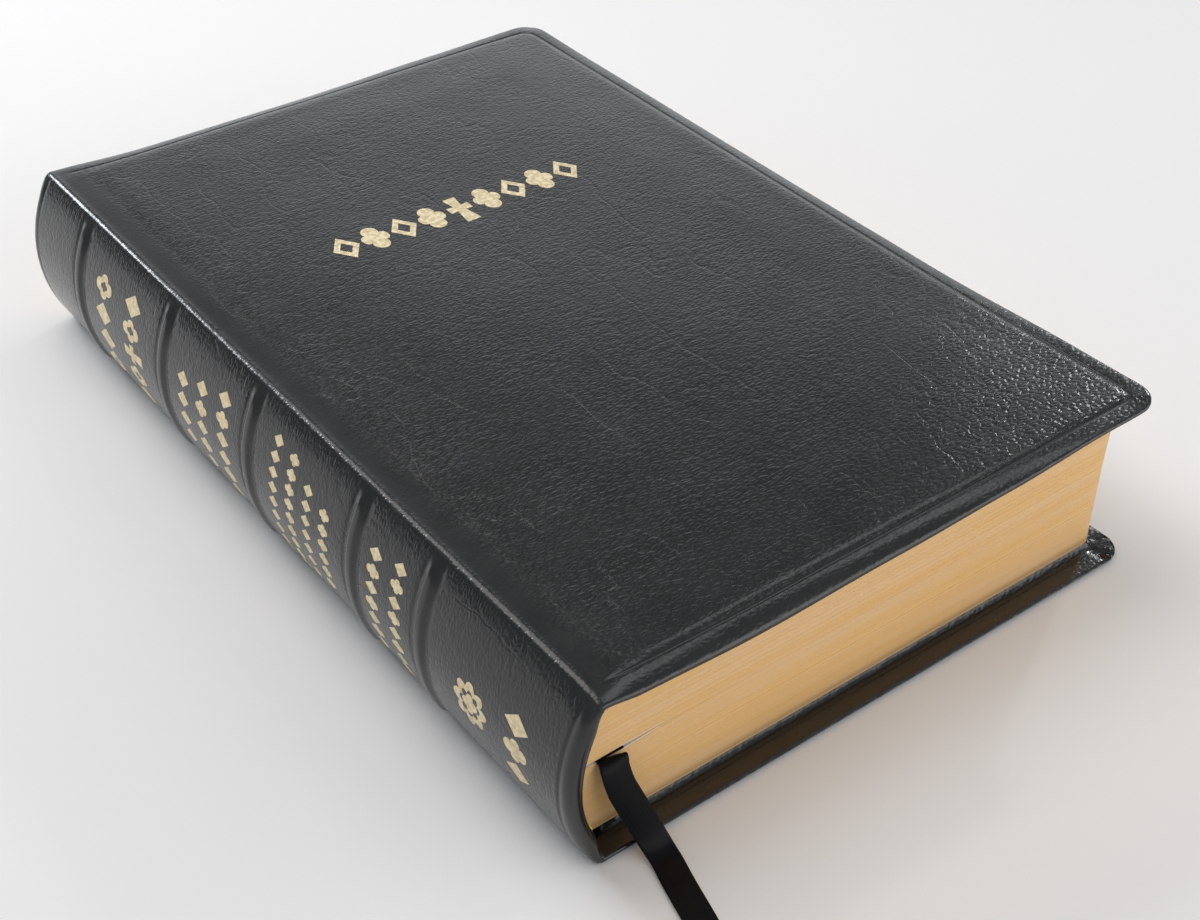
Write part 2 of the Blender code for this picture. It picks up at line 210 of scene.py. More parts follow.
RUN, LINE_X, LINE_Z, LINE_NX, LINE_NZ, U_RIDGE, U_LOW_RIDGE = case_line()
U_SEAM = RUN[-1]
SPINE_LENGTH = U_LOW_RIDGE - U_RIDGE


def edge_distance(u, v):
    """Distance to the nearest free edge of a cover. On the spine only head and tail are free."""
    return np.minimum(u, np.minimum(v, COVER_LENGTH - v))


def round_corners(u, v, radius):
    """Moves the lines of a square grid so that they turn the corners at the fore-edge in arcs."""
    out_u, out_v = u.copy(), v.copy()
    for flip in (False, True):
        w = COVER_LENGTH - v if flip else v
        a, b = radius - u, radius - w
        inside = (a > 0) & (b > 0)
        scale = np.where(inside, np.maximum(a, b) / np.maximum(np.hypot(a, b), 1e-9), 1)
        out_u = np.where(inside, radius - a * scale, out_u)
        moved = radius - b * scale
        out_v = np.where(inside, COVER_LENGTH - moved if flip else moved, out_v)
    return out_u, out_v


def pleats(u, v):
    """Folds of the turned-in leather, which fan out from the centre of each rounded corner."""
    w = np.minimum(v, COVER_LENGTH - v)
    a, b = CORNER_RADIUS * 1.15 - u, CORNER_RADIUS * 1.15 - w
    reach = np.hypot(a, b)
    angle = np.arctan2(np.maximum(b, 0), np.maximum(a, 0))
    wave = np.abs(np.sin(angle * 7.5 + 0.5 * np.sin(angle * 5))) ** 0.7
    sides = step(angle, 0.02, 0.25) * step(angle, 1.55, 1.32)
    ring = step(reach, 1.5 * MM, 4 * MM) * step(reach, 11 * MM, 7.6 * MM)
    return (wave - 0.35) * 1.2 * MM * sides * ring


# ---------------- front cover and spine

# How far the edges droop, in millimetres: at distances from the ridge along tail and head, and at distances
# from the tail along the fore-edge
TAIL_DROOP = ((-6, 0.0), (0, 1.2), (10, 2.6), (37, 3.5), (75, 2.8), (104, 2.0), (138, 0.4), (152, 0.0))
HEAD_DROOP = ((-6, 0.0), (0, 0.4), (30, 1.5), (70, 1.8), (115, 1.0), (152, 0.2))
FORE_DROOP = ((0, -0.5), (20, -0.2), (70, 1.2), (130, 1.3), (200, 0.8), (234, 0.2))


def droop(u, v):
    """How far the front cover hangs below its plane: its edges sag where no page is under them."""
    from_ridge = (U_RIDGE - u) / MM

    def near(distance):
        return np.clip(1 - distance / DROOP_REACH, 0, 1) ** 2

    tail = eased(from_ridge, TAIL_DROOP) * near(v)
    head = eased(from_ridge, HEAD_DROOP) * near(COVER_LENGTH - v)
    fore = eased(v / MM, FORE_DROOP) * near(u)
    return (tail + head + fore) * MM


def waves(u, v):
    """Slow unevenness of the padded leather."""
    x, y = u / MM, v / MM
    slow = np.sin(x / 11.3 + 0.7 * np.sin(y / 23)) * np.sin(y / 17.1 + 1.1)
    slower = np.sin(x / 23.7 - y / 31.3 + 0.6)
    quick = np.sin(x / 5.1 + y / 9.7) * np.sin(y / 6.3 - x / 14)
    return (0.07 * slow + 0.12 * slower + 0.02 * quick) * MM


def rounded_min(a, b, radius):
    """The smaller of two distances, with contours that turn the corner between them in arcs."""
    near = (a < radius) & (b < radius)
    return np.where(near, radius - np.hypot(radius - a, radius - b), np.minimum(a, b))


def frame_tooling(u, v):
    """Height of the border pressed round a cover: soft along the ridge, grooved along the other edges."""
    plan_u, plan_v = round_corners(u, v, CORNER_RADIUS)
    edge = rounded_min(plan_u, np.minimum(plan_v, COVER_LENGTH - plan_v), 9 * MM) / MM
    from_ridge = (U_RIDGE - u) / MM
    d = rounded_min(edge, 0.55 * from_ridge, 9)
    drop = 0.14 + 0.14 * step(from_ridge, 6, 16)
    strip = 0.08 * bell(edge, 2.2, 1.3) - drop
    groove = -0.13 * bell(edge, 4.35, 0.3) * step(from_ridge, 3, 8)
    shoulder = drop * step(d, 4.4, 6.0)
    panel = 0.25 * step(d, 6.0, 26)
    return (strip + groove + shoulder + panel) * MM * step(from_ridge, -0.3, 2.6)


def front_tooling(u, v):
    """Height of everything pressed or raised on the outside of the front cover and the spine."""
    cover = frame_tooling(u, v)
    into_spine = np.minimum(u - U_RIDGE, U_LOW_RIDGE - u) / MM
    spine = np.zeros_like(u)
    for place in BAND_PLACES:
        off = np.abs(v - place) / MM
        band = 0.62 * step(off, 2.15, 0.7) - 0.26 * bell(off, 2.75, 0.42)
        spine += band * MM * step(into_spine, 1.6, 5.5)
    end = np.minimum(v, COVER_LENGTH - v) / MM
    spine += -0.3 * bell(end, 3.4, 0.4) * MM * step(into_spine, 0.6, 2.5)
    return np.where(u > U_RIDGE, spine, cover)


def pressed(u, v):
    """1 where tooling has flattened the leather's grain, 0 where the grain is whole."""
    d = edge_distance(u, v) / MM
    from_ridge = (U_RIDGE - u) / MM
    border = np.maximum(step(d, 3.8, 4.2) * step(d, 5.3, 4.6), 0.45 * step(d, 4.4, 3.0))
    joint = step(from_ridge, 0.9, 1.8) * step(from_ridge, 9.5, 3.5)
    cover = np.maximum(border * step(from_ridge, 2, 4), joint)
    spine = sum(step(np.abs(v - place) / MM, 3.4, 2.4) for place in BAND_PLACES)
    end = np.minimum(v, COVER_LENGTH - v) / MM
    spine = np.maximum(spine, step(end, 4.2, 3.6))
    return np.where(from_ridge > 0, cover, np.clip(spine, 0, 1)) * 0.85


def leather_depths(u, v):
    """Depths of the leather's inner face and of both faces of its turn-in.

    A cover is thin along its edges and thickens over its board. At head and tail of the spine the turned-in
    leather makes a thick cap."""
    past_ridge, d = (u - U_RIDGE) / MM, edge_distance(u, v) / MM
    board = step(d, 5.6, 6.8)
    cap = 2.1 * step(d, 4.5, 3.6) * step(np.minimum(past_ridge, SPINE_LENGTH / MM - past_ridge), 0.2, 8)
    on_joint, on_spine = step(past_ridge, -5.4, -4.5), step(past_ridge, -1.6, 0.6)

    def across(cover, joint, spine):
        case = cover + (joint - cover) * on_joint
        return case + (spine - case) * on_spine

    inner = across(0.6, 0.36, 0.6)
    bottom = across(1.25 + (COVER_DEPTH / MM - 1.25) * board, 1.25 - 0.25 * board, 2.0 + cap)
    turn_in_top = np.maximum(bottom - across(0.6, 0.4, 0.4), inner + 0.04)
    return inner * MM, turn_in_top * MM, bottom * MM


def edge_roll(d, radius):
    """How far the outer face turns down towards a rounded edge."""
    inside = np.clip(radius - d, 0, None)
    return radius - np.sqrt(np.clip(radius**2 - inside**2, 0, None))


def front_point(u, v, depth, outside=0.0):
    """Points of the front cover and spine, depth below the outer face. outside scales the tooling there."""
    plan_u, plan_v = round_corners(u, v, CORNER_RADIUS)
    x, z = np.interp(plan_u, RUN, LINE_X), np.interp(plan_u, RUN, LINE_Z)
    nx, nz = np.interp(plan_u, RUN, LINE_NX), np.interp(plan_u, RUN, LINE_NZ)
    on_cover = step(U_RIDGE - u, 0, 6 * MM)
    height = outside * front_tooling(u, v) + waves(u, v) * on_cover - depth
    return np.stack([x + nx * height, plan_v - HALF_LENGTH, z + nz * height - droop(u, v)], -1)


def back_tooling(u, v):
    """The back cover lies flat on the table, so only its groove and its strip stand off it."""
    return np.minimum(frame_tooling(u, v), 0)


def back_point(u, v, depth, outside=0.0):
    """Points of the back cover, depth above its outer face, which lies on the table."""
    plan_u, plan_v = round_corners(u, v, CORNER_RADIUS)
    height = depth - outside * back_tooling(u, v)
    return np.stack([FORE_X - plan_u, plan_v - HALF_LENGTH, height], -1)


# ---------------- meshes


def turn_faces_outward(mesh, merge=False):
    """Makes the faces of a closed mesh look outward. merge joins the points that lie together first."""
    work = bmesh.new()
    work.from_mesh(mesh)
    if merge:
        bmesh.ops.remove_doubles(work, verts=work.verts, dist=1e-6)
    bmesh.ops.recalc_face_normals(work, faces=work.faces)
    work.to_mesh(mesh)
    work.free()


def new_mesh(name, points, faces, materials, face_slots=None, fields=None, sharp=50):
    """A shown mesh with its faces turned outward. fields are point attributes for its materials."""
    mesh = bpy.data.meshes.new(name)
    mesh.from_pydata(np.asarray(points).tolist(), [], [list(face) for face in faces])
    for material in materials:
        mesh.materials.append(material)
    if face_slots is not None:
        mesh.polygons.foreach_set("material_index", np.asarray(face_slots, np.int32))
    for field, values in (fields or {}).items():
        values = np.asarray(values, np.float32)
        vector = values.ndim == 2
        layer = mesh.attributes.new(field, "FLOAT_VECTOR" if vector else "FLOAT", "POINT")
        layer.data.foreach_set("vector" if vector else "value", values.ravel())
    turn_faces_outward(mesh)
    mesh.shade_smooth()
    mesh.set_sharp_from_angle(angle=math.radians(sharp))
    obj = bpy.data.objects.new(name, mesh)
    bpy.context.scene.collection.objects.link(obj)
    return obj


def joined_layers(layers, shared):
    """Joins grid layers, given from the outside in as (points, cells), into one closed surface.

    shared marks the grid nodes that the last layer takes from the first. Returns the points, the faces and
    the grid node of each point."""
    rows, columns = shared.shape
    last = len(layers) - 1
    points, faces, nodes, numbers, rims = [], [], [], [], []
    for k, (places, cells) in enumerate(layers):
        used = np.zeros((rows, columns), bool)
        for di in (0, 1):
            for dj in (0, 1):
                used[di : rows - 1 + di, dj : columns - 1 + dj] |= cells
        number = np.full((rows, columns), -1)
        own = used & ~shared if k == last else used
        number[own] = np.arange(own.sum()) + len(points)
        points += list(places[own])
        nodes += list(np.argwhere(own))
        if k == last:
            number[used & shared] = numbers[0][used & shared]
        numbers.append(number)
        i, j = np.nonzero(cells)
        quads = np.stack([number[i, j], number[i + 1, j], number[i + 1, j + 1], number[i, j + 1]], -1)
        faces += quads.tolist()
        padded = np.pad(cells, 1)
        across = padded[1:-1, :-1] ^ padded[1:-1, 1:]
        along = padded[:-1, 1:-1] ^ padded[1:, 1:-1]
        rims.append((across, along))
    for direction, (di, dj) in enumerate(((1, 0), (0, 1))):
        edges = np.any([rim[direction] for rim in rims], axis=0)
        for i, j in np.argwhere(edges):
            meeting = [number for number, rim in zip(numbers, rims, strict=True) if rim[direction][i, j]]
            for upper, lower in zip(meeting[::2], meeting[1::2], strict=True):
                corners = [upper[i, j], upper[i + di, j + dj], lower[i + di, j + dj], lower[i, j]]
                corners = list(dict.fromkeys(int(c) for c in corners))
                if len(corners) > 2:
                    faces.append(corners)
    return np.array(points), faces, np.array(nodes)


def cell_range(distance, low, high):
    """Cells whose four corners all lie from low to high on a field given at the grid's nodes."""
    inside = (distance >= low - 1e-7) & (distance <= high + 1e-7)
    return inside[:-1, :-1] & inside[1:, :-1] & inside[:-1, 1:] & inside[1:, 1:]


def spread(low, high, pace):
    """Evenly spaced lines strictly between two places, about pace apart."""
    count = max(1, round((high - low) / pace))
    return list(np.linspace(low, high, count + 1)[1:-1])


def grid_lines(last_u, spine_bands):
    """Grid of a leather, across the book up to last_u and along it, closer where its shape is finer."""
    edge = [line * MM for line in EDGE_LINES]
    joint = U_RIDGE - 9 * MM
    u = edge + spread(edge[-1], joint, 2.2 * MM)
    u += list(np.arange(joint, U_RIDGE - JOINT_WIDTH - 0.25 * MM, 0.5 * MM))
    u += list(np.arange(U_RIDGE - JOINT_WIDTH, min(last_u, U_RIDGE) - 1.1 * MM, 0.35 * MM))
    u += list(np.arange(U_RIDGE - 1.1 * MM, min(last_u, U_RIDGE + 1.2 * MM), 0.15 * MM))
    if last_u > U_RIDGE:
        u += spread(u[-1], U_LOW_RIDGE - 1.5 * MM, 1.0 * MM)
        u += list(np.arange(U_LOW_RIDGE - 1.5 * MM, last_u - 0.1 * MM, 0.35 * MM))
    u.append(last_u)
    v = list(edge)
    if spine_bands:
        for place in BAND_PLACES:
            v += spread(v[-1], place - 3.9 * MM, 2.2 * MM)
            v += list(np.arange(place - 3.9 * MM, place + 4 * MM, 0.48 * MM))
    v += spread(v[-1], COVER_LENGTH - edge[-1], (2.2 if spine_bands else 2.6) * MM)
    v += [COVER_LENGTH - line for line in reversed(edge)]
    return np.meshgrid(np.array(u), np.array(v), indexing="ij")


def case_leather(name, u, v, place):
    """A sheet of leather turned in round a board: outer face, inner face and both faces of the turn-in."""
    d = edge_distance(u, v)
    inner, turn_in_top, turn_in_bottom = leather_depths(u, v)
    roll = edge_roll(d, turn_in_bottom / 2)
    shared = d < 1e-7
    folds = pleats(u, v)
    lowest = np.maximum(turn_in_bottom - roll - folds * (d > 0), turn_in_bottom / 2)
    layers = [
        (place(u, v, roll, 1.0), cell_range(d, 0, 1)),
        (place(u, v, inner), cell_range(d, BORDER, 1)),
        (place(u, v, turn_in_top), cell_range(d, BORDER, TURN_IN)),
        (place(u, v, lowest), cell_range(d, 0, TURN_IN)),
    ]
    points, faces, nodes = joined_layers(layers, shared)
    i, j = nodes.T
    surface = np.stack([u[i, j], v[i, j], pressed(u, v)[i, j]], -1)
    return new_mesh(name, points, faces, [LEATHER], fields={"surface": surface}, sharp=60)


def card(name, place, u_lines, v_lines, top, bottom, material):
    """A thin card between two depths that follows the shape of the leather outside it."""
    u, v = np.meshgrid(np.array(u_lines), np.array(v_lines), indexing="ij")
    everywhere = np.ones((u.shape[0] - 1, u.shape[1] - 1), bool)
    layers = [(place(u, v, top), everywhere), (place(u, v, bottom), everywhere)]
    points, faces, nodes = joined_layers(layers, np.zeros(u.shape, bool))
    i, j = nodes.T
    where = np.stack([u[i, j], v[i, j], u[i, j] * 0], -1)
    return new_mesh(name, points, faces, [material], fields={"place": where}, sharp=40)


def inner_card(name, place, margin, top, bottom, material):
    """A card inside a cover, such as its board or its pastedown. It ends short of the joint."""
    corner = [margin + line * MM for line in (0, 0.6, 1.4, 2.4, 3.6, 5.0, 7.0)]
    last_u = U_RIDGE - JOINT_WIDTH - 0.2 * MM
    u = corner + spread(corner[-1], last_u, 3.2 * MM) + [last_u]
    v = corner + spread(corner[-1], COVER_LENGTH - corner[-1], 3.2 * MM)
    v += [COVER_LENGTH - line for line in reversed(corner)]
    return card(name, place, u, v, top, bottom, material)


# ---------------- materials


class Nodes:
    """Short ways to add nodes to a tree. An input takes a value or another node's socket."""

    def __init__(self, tree):
        self.tree = tree

    def feed(self, socket, value):
        if isinstance(value, bpy.types.NodeSocket):
            self.tree.links.new(value, socket)
        else:
            socket.default_value = value

    def add(self, kind, inputs=None, output=0, **settings):
        """Adds a node and returns one of its outputs."""
        made = self.tree.nodes.new("ShaderNode" + kind)
        for key, value in settings.items():
            setattr(made, key, value)
        for key, value in (inputs or {}).items():
            self.feed(made.inputs[key], value)
        return made.outputs[output]

    def attribute(self, name, output="Vector"):
        return self.add("Attribute", None, output, attribute_name=name)

    def place(self):
        """The place on the object."""
        return self.add("TexCoord", None, "Object")

    def split(self, vector):
        return self.add("SeparateXYZ", {0: vector}).node.outputs

    def math(self, operation, *values):
        return self.add("Math", dict(enumerate(values)), operation=operation)

    def times(self, a, b):
        return self.math("MULTIPLY", a, b)

    def total(self, *terms):
        """The sum of (value, weight) terms."""
        result = 0.0
        for value, weight in terms:
            result = self.math("MULTIPLY_ADD", value, weight, result)
        return result

    def vector(self, operation, a, b, output="Vector"):
        return self.add("VectorMath", {0: a, 1: b}, output, operation=operation)

    def scaled(self, vector, scale):
        return self.vector("MULTIPLY", vector, scale)

    def ramp(self, value, low, high, out_low=0.0, out_high=1.0):
        """Maps a value smoothly from one range to another, clamped."""
        inputs = {"Value": value, "From Min": low, "From Max": high, "To Min": out_low, "To Max": out_high}
        return self.add("MapRange", inputs, "Result", interpolation_type="SMOOTHSTEP")

    def mix(self, share, a, b):
        """Mixes two colours."""
        a, b = (colour if isinstance(colour, bpy.types.NodeSocket) else (*colour, 1.0) for colour in (a, b))
        return self.add("Mix", {0: share, 6: a, 7: b}, 2, data_type="RGBA")

    def noise(self, vector, scale, detail=2.0, roughness=0.5, output="Fac"):
        inputs = {"Vector": vector, "Scale": scale, "Detail": detail, "Roughness": roughness}
        return self.add("TexNoise", inputs, output)

    def waves(self, vector, scale, direction, **inputs):
        """Straight waves along an axis."""
        inputs = {"Vector": vector, "Scale": scale, **inputs}
        return self.add("TexWave", inputs, "Fac", bands_direction=direction)

    def cells(self, vector, scale, edge):
        """Domes between fine lines: 0 on the lines and 1 from edge inwards, in cells of 1 over scale."""
        inputs = {"Vector": self.scaled(vector, scale), "Scale": 1.0}
        shape = {"feature": "DISTANCE_TO_EDGE", "voronoi_dimensions": "2D"}
        return self.ramp(self.add("TexVoronoi", inputs, "Distance", **shape), 0.0, edge)


class Surface(Nodes):
    """A material with a Principled shader, whose constants are set on the shader's own sockets."""

    def __init__(self, name, **constants):
        self.material = bpy.data.materials.new(name)
        self.material.use_nodes = True
        super().__init__(self.material.node_tree)
        self.shader = self.tree.nodes["Principled BSDF"].inputs
        for key, value in constants.items():
            self.shader[key.replace("_", " ")].default_value = value

    def finish(self, colour, height=None, roughness=None):
        """Links a colour, a height in metres and a roughness to the shader. Returns the material."""
        self.feed(self.shader["Base Color"], colour)
        if roughness is not None:
            self.feed(self.shader["Roughness"], roughness)
        if height is not None:
            bump = self.add("Bump", {"Height": height, "Strength": 1.0, "Distance": 1.0})
            self.feed(self.shader["Normal"], bump)
        return self.material


def leather_material():
    """Black bonded leather: pebbles drawn out across the book and creases along it, flat where tooled."""
    made = Surface("bonded_leather", Coat_Weight=0.3, Coat_Roughness=0.11)
    u, v, tooled = made.split(made.attribute("surface"))
    flat = made.add("CombineXYZ", {0: u, 1: v})
    drift = made.vector("SUBTRACT", made.noise(flat, 330.0, output="Color"), (0.5, 0.5, 0.5))
    bent = made.vector("ADD", flat, made.scaled(drift, (1.4 * MM, 1.4 * MM, 0)))

    pebbles = made.cells(bent, (520, 1050, 0), 0.42)
    lumps = made.noise(made.scaled(flat, (0.5, 1.0, 1.0)), 620.0, 1.0)
    patches = made.ramp(made.noise(flat, 34.0), 0.3, 0.7, 0.75, 1.0)
    to_corner = made.vector("DISTANCE", flat, (12 * MM, 12 * MM, 0), "Value")
    coarseness = made.times(patches, made.ramp(to_corner, 15 * MM, 50 * MM, 1.65, 1.0))
    grain = made.times(made.total((pebbles, 0.045 * MM), (lumps, 0.045 * MM)), coarseness)

    wrinkles = made.cells(bent, (150, 400, 0), 0.28)
    wrinkles = made.times(wrinkles, made.ramp(made.noise(flat, 70.0), 0.30, 0.70, 0.3, 1.0))
    contours = made.math("SUBTRACT", made.noise(made.scaled(bent, (1.0, 0.5, 1.0)), 36.0, 3.0), 0.5)
    creases = made.ramp(made.math("ABSOLUTE", contours), 0.0, 0.011)
    creases = made.times(creases, made.ramp(made.noise(flat, 24.0), 0.36, 0.56))
    relief = made.total((grain, 1.0), (wrinkles, 0.04 * MM), (creases, 0.047 * MM))

    pores = made.noise(flat, 3600.0)
    height = made.total((relief, made.math("SUBTRACT", 1.0, tooled)), (pores, 0.004 * MM))
    colour = made.mix(lumps, (0.0045, 0.0057, 0.0057), (0.0085, 0.0100, 0.0100))
    return made.finish(colour, height, made.ramp(made.noise(flat, 90.0, 3.0), 0.3, 0.7, 0.25, 0.29))


def gilt_material():
    """Gilded edges of the pages: soft streaks along the leaves, from the tone that each leaf carries.

    The lowest leaves are darker, with fine brown lines between them: the lines stand for uneven gilding,
    and the darkening there is painted shade from the back cover below the block."""
    made = Surface("gilt_edges", Metallic=0.15)
    place, tone = made.attribute("place"), made.attribute("tone", "Fac")
    streaks = made.noise(made.scaled(place, (5, 5, 4200)), 1.0, 3.0, 0.6)
    broad = made.noise(made.scaled(place, (14, 14, 260)), 1.0)
    share = made.total((tone, 0.45), (streaks, 0.55))
    colour = made.mix(made.ramp(share, 0.1, 0.9), (0.775, 0.475, 0.185), (0.84, 0.54, 0.225))
    colour = made.mix(made.ramp(broad, 0.35, 0.75, 0.0, 0.6), colour, (0.82, 0.57, 0.33))
    colour = made.mix(made.ramp(tone, 1.0, PALE_TONE), colour, (0.92, 0.80, 0.66))
    # painted shade: the bottom 2 mm of leaves are mixed towards dark brown, where the back cover shades the
    # block; the streaks break it into brown lines of uneven gilding
    low = made.ramp(made.split(place)[2], BLOCK_LOW.z + 0.2 * MM, BLOCK_LOW.z + 2.0 * MM, 0.45, 0.0)
    low = made.times(low, made.ramp(streaks, 0.35, 0.6, 0.35, 1.0))
    colour = made.mix(low, colour, (0.24, 0.13, 0.05))
    return made.finish(colour, made.times(streaks, 0.008 * MM), made.ramp(streaks, 0.3, 0.7, 0.42, 0.6))


def paper_material(name, light, dark):
    """Thin uncoated paper: fibres and faint clouds."""
    made = Surface(name, Roughness=0.75)
    place = made.attribute("place")
    clouds = made.noise(place, 45.0, 3.0)
    fibres = made.noise(made.scaled(place, (900, 2600, 900)), 1.0, 4.0, 0.7)
    share = made.total((clouds, 0.55), (fibres, 0.45))
    return made.finish(made.mix(made.ramp(share, 0.3, 0.7), dark, light), made.times(fibres, 0.02 * MM))


def foil_material():
    """Pale gold foil, pressed into the grain."""
    made = Surface("gilt_foil", Metallic=0.55)
    wear = made.noise(made.place(), 900.0, 3.0)
    colour = made.mix(made.ramp(wear, 0.3, 0.7), (0.70, 0.56, 0.32), (0.92, 0.82, 0.57))
    return made.finish(colour, made.times(wear, 0.04 * MM), made.ramp(wear, 0.3, 0.7, 0.35, 0.55))


def satin_material():
    """Black satin ribbon: fine threads across it and a soft sheen along them."""
    made = Surface("black_satin", Specular_IOR_Level=0.11, Sheen_Weight=0.03, Sheen_Roughness=0.4)
    surface = made.attribute("surface")
    threads = made.waves(surface, 900.0, "Y", Distortion=0.6, Detail=1.0)
    warp = made.waves(surface, 420.0, "X", Distortion=0.3)
    colour = made.mix(made.noise(surface, 260.0), (0.0015, 0.0018, 0.0025), (0.004, 0.005, 0.007))
    height = made.total((warp, 0.012 * MM), (threads, 0.01 * MM))
    return made.finish(colour, height, made.ramp(threads, 0.2, 0.8, 0.30, 0.44))


def board_material(name, light, dark):
    """Pressed card: flecks of fibre in two sizes."""
    made = Surface(name, Roughness=0.9)
    place = made.place()
    flecks = made.noise(place, 1300.0, 4.0, 0.7)
    share = made.total((made.noise(place, 120.0), 0.3), (flecks, 0.7))
    return made.finish(made.mix(made.ramp(share, 0.35, 0.65), dark, light), made.times(flecks, 0.05 * MM))


def thread_material(name, light, dark, pitch):
    """Twisted or wound thread, seen as slanting bands."""
    made = Surface(name, Roughness=0.75)
    place = made.place()
    bands = made.waves(place, 0.5 / pitch, "Z", Distortion=1.0, Detail=1.0)
    share = made.total((bands, 0.7), (made.noise(place, 2400.0, 3.0), 0.3))
    return made.finish(made.mix(share, dark, light), made.times(share, 0.06 * MM))


def gauze_material():
    """Open-weave gauze with glue in its holes."""
    made = Surface("mull_gauze", Roughness=0.85)
    along, across = (made.waves(made.place(), 330.0, direction) for direction in "YZ")
    weave = made.math("MAXIMUM", along, across)
    colour = made.mix(made.ramp(weave, 0.4, 0.8), (0.42, 0.36, 0.24), (0.82, 0.79, 0.68))
    return made.finish(colour, made.times(weave, 0.12 * MM))


LEATHER = leather_material()
GILT = gilt_material()
PAPER = paper_material("bible_paper", (0.87, 0.81, 0.69), (0.79, 0.72, 0.59))
ENDPAPER = paper_material("endpaper", (0.83, 0.80, 0.72), (0.74, 0.70, 0.61))
FOIL = foil_material()
SATIN = satin_material()
BOARD = board_material("cover_board", (0.47, 0.42, 0.33), (0.30, 0.26, 0.20))
KRAFT = board_material("kraft_lining", (0.58, 0.42, 0.26), (0.42, 0.29, 0.17))
THREAD = thread_material("linen_thread", (0.88, 0.85, 0.76), (0.60, 0.56, 0.46), 0.5 * MM)
COTTON = thread_material("band_cotton", (0.88, 0.72, 0.14), (0.55, 0.40, 0.05), 1.1 * MM)
GAUZE = gauze_material()


# ---------------- case pieces


def make_case():
    """One leather over the front cover and the spine, one over the back cover, and the cards inside."""
    u, v = grid_lines(U_SEAM, True)
    front = case_leather("front_case_leather", u, v, front_point)
    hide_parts("front_cover_leather", "spine_leather")
    end = (RIDGE_X + JOINT_WIDTH, 0, THICKNESS + 1.3 * MM)
    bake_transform(front)

    u, v = grid_lines(U_RIDGE - SEAM - 0.1 * MM, False)
    back = case_leather("back_case_leather", u, v, back_point)
    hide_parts("back_cover_leather")
    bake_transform(back)

    for node, slot, material, margin, top, bottom in (
        ("board", "cover_board", BOARD, 6.9 * MM, 0.8 * MM, 1.8 * MM),
        ("pastedown", "endpaper", ENDPAPER, 7.0 * MM, 2.66 * MM, 2.82 * MM),
    ):
        for side, place in (("front", front_point), ("back", back_point)):
            piece = inner_card(f"{side}_{node}_card", place, margin, top, bottom, material)
            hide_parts(f"{side}_{node}")
            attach(piece, f"{side}_cover")

    low, high = U_RIDGE + 1.2 * MM, U_LOW_RIDGE - 1.2 * MM
    end = BORDER + 0.3 * MM
    u = [low, *spread(low, high, 1.0 * MM), high]
    v = [end, *spread(end, COVER_LENGTH - end, 6 * MM), COVER_LENGTH - end]
    inlay = card("spine_inlay_card", front_point, u, v, 0.85 * MM, 1.45 * MM, BOARD)
    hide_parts("spine_inlay")
    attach(inlay, "block")


make_case()


# ---------------- ornaments


def lozenge(angle, width, height):
    return 1 / (np.abs(np.cos(angle)) / width + np.abs(np.sin(angle)) / height)


def quatrefoil(angle, width, height):
    lobes = 0.60 + 0.40 * np.abs(np.cos(2 * angle)) ** 0.8
    return lobes * np.hypot(width * np.cos(angle), height * np.sin(angle))


def rosette(angle, width, height):
    lobes = 0.72 + 0.28 * np.abs(np.cos(4 * angle))
    return lobes * np.hypot(width * np.cos(angle), height * np.sin(angle))


def cross(angle, width, height):
    """A plain cross whose arms widen a little towards their ends; its lower arm is the longest."""
    c, s = np.abs(np.cos(angle)) + 1e-9, np.abs(np.sin(angle)) + 1e-9
    long_arm = np.where(np.sin(angle) < 0, height * 1.12, height * 0.88)
    arm = 0.26 * width
    upright = np.minimum(long_arm / s, arm / np.maximum(c - 0.16 * s, 1e-3))
    crossbar = np.minimum(width * 0.86 / c, arm / np.maximum(s - 0.16 * c, 1e-3))
    return np.maximum(upright, crossbar)


def ornament(shape, centre, width, height, hole=0.0):
    """One plate of foil, as points and faces. Its right points to the fore-edge and its top to the head."""
    steps = 112
    angle = np.arange(steps) / steps * 2 * math.pi
    radius = shape(angle, width / 2, height / 2)
    outward = np.linspace(max(hole, 0.25), 1, 4)
    shares = np.append(hole, outward[1:] if hole else outward)
    points, faces = [], []
    for depth in (-0.045 * MM, 0.12 * MM):
        share, turn = np.meshgrid(shares, angle, indexing="ij")
        size = share * radius[None, :]
        u = centre[0] - size * np.cos(turn)
        v = centre[1] + size * np.sin(turn)
        points.append(front_point(u, v, np.full_like(u, depth), 1.0))
    rings = len(shares)
    near = np.arange(steps)
    after = (near + 1) % steps
    for side in (0, 1):
        base = side * rings * steps
        for ring in range(rings - 1):
            a, b = base + ring * steps, base + (ring + 1) * steps
            faces += np.stack([a + near, b + near, b + after, a + after], -1).tolist()
    for ring in (rings - 1, 0):
        if ring or hole:
            a, b = ring * steps, (rings + ring) * steps
            faces += np.stack([a + near, a + after, b + after, b + near], -1).tolist()
    return np.concatenate([side.reshape(-1, 3) for side in points]), faces


def ornament_piece(name, marks, body):
    """Joins ornaments into one piece of foil."""
    points, faces, count = [], [], 0
    for mark in marks:
        places, corners = ornament(*mark)
        faces += [[c + count for c in face] for face in corners]
        points.append(places)
        count += len(places)
    piece = new_mesh(name, np.concatenate(points), faces, [FOIL], sharp=35)
    turn_faces_outward(piece.data, merge=True)
    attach(piece, body)
    return piece


ORNAMENTS = {  # signs of the patterns below: a shape and the share of it that is a hole
    ".": (lozenge, 0.0),
    "o": (lozenge, 0.5),
    "*": (quatrefoil, 0.0),
    "%": (quatrefoil, 0.42),
    "+": (cross, 0.0),
}


def row(pattern, middle_u, v, pitch, width, height):
    """Ornaments side by side, from the spine side to the fore-edge."""
    first = middle_u + pitch * (len(pattern) - 1) / 2
    marks = []
    for i, sign in enumerate(pattern):
        shape, hole = ORNAMENTS[sign]
        tall = 1.15 if shape is cross else 1.0
        marks.append((shape, (first - i * pitch, v), width, height * tall, hole))
    return marks


